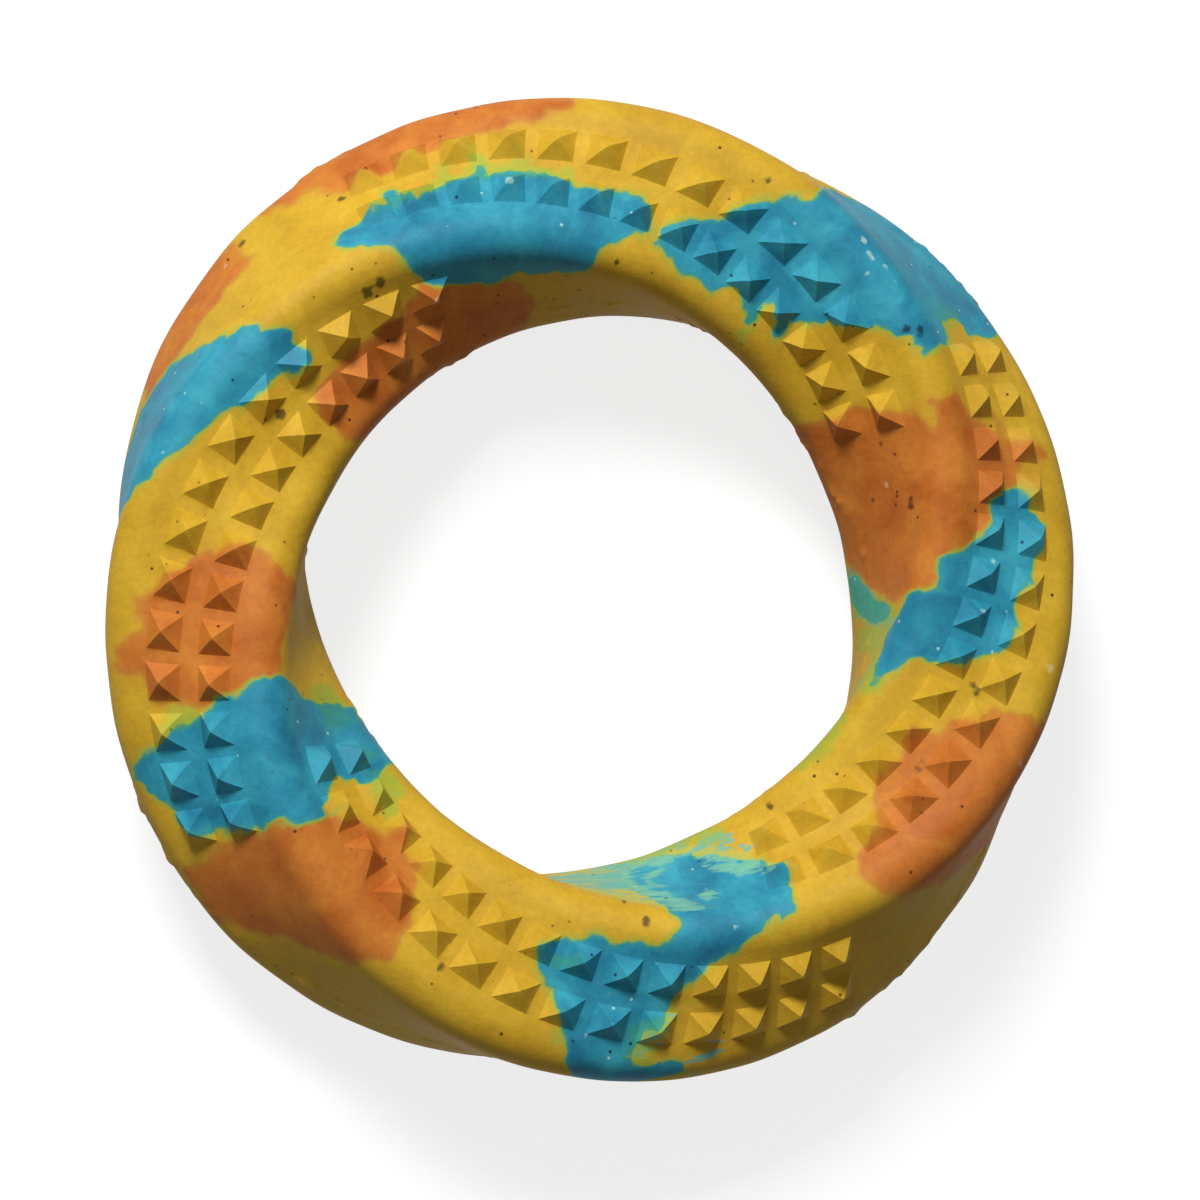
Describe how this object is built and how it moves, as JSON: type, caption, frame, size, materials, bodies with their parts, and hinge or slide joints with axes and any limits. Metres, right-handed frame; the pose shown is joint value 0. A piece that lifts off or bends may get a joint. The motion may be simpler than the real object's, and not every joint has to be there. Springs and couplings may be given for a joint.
{
  "type": "rubber chew toy",
  "caption": "Ring-shaped rubber chew toy: a twisted square bar bent into a ring, with rows of small pyramid studs and marbled three-colour rubber.",
  "frame": {"origin": "centre of the ring, at the level of its lowest ridges, on which it lies", "axes": "+Z along the ring's axis, upwards when it lies flat; +Y towards the top of the pictured view, +X towards its right"},
  "size_m": [0.1276, 0.1276, 0.0308],
  "materials": {
    "yellow_rubber": "satin, moulded",
    "turquoise_rubber": "satin, moulded",
    "orange_rubber": "satin, moulded"
  },
  "bodies": {
    "root": {"yellow_body": "yellow_rubber", "turquoise_top": "turquoise_rubber", "turquoise_upper_right": "turquoise_rubber", "turquoise_right": "turquoise_rubber", "turquoise_right_streak": "turquoise_rubber", "turquoise_lower_right": "turquoise_rubber", "turquoise_bottom": "turquoise_rubber", "turquoise_lower_left": "turquoise_rubber", "turquoise_upper_left": "turquoise_rubber", "turquoise_back_top": "turquoise_rubber", "turquoise_back_right": "turquoise_rubber", "turquoise_back_left": "turquoise_rubber", "orange_top": "orange_rubber", "orange_upper_right": "orange_rubber", "orange_lower_right": "orange_rubber", "orange_lower_left": "orange_rubber", "orange_left": "orange_rubber", "orange_upper_left": "orange_rubber", "orange_inner_top": "orange_rubber", "orange_back_bottom": "orange_rubber", "orange_back_upper_right": "orange_rubber", "orange_back_lower_right": "orange_rubber", "orange_back_upper_left": "orange_rubber"}
  },
  "joints": []
}
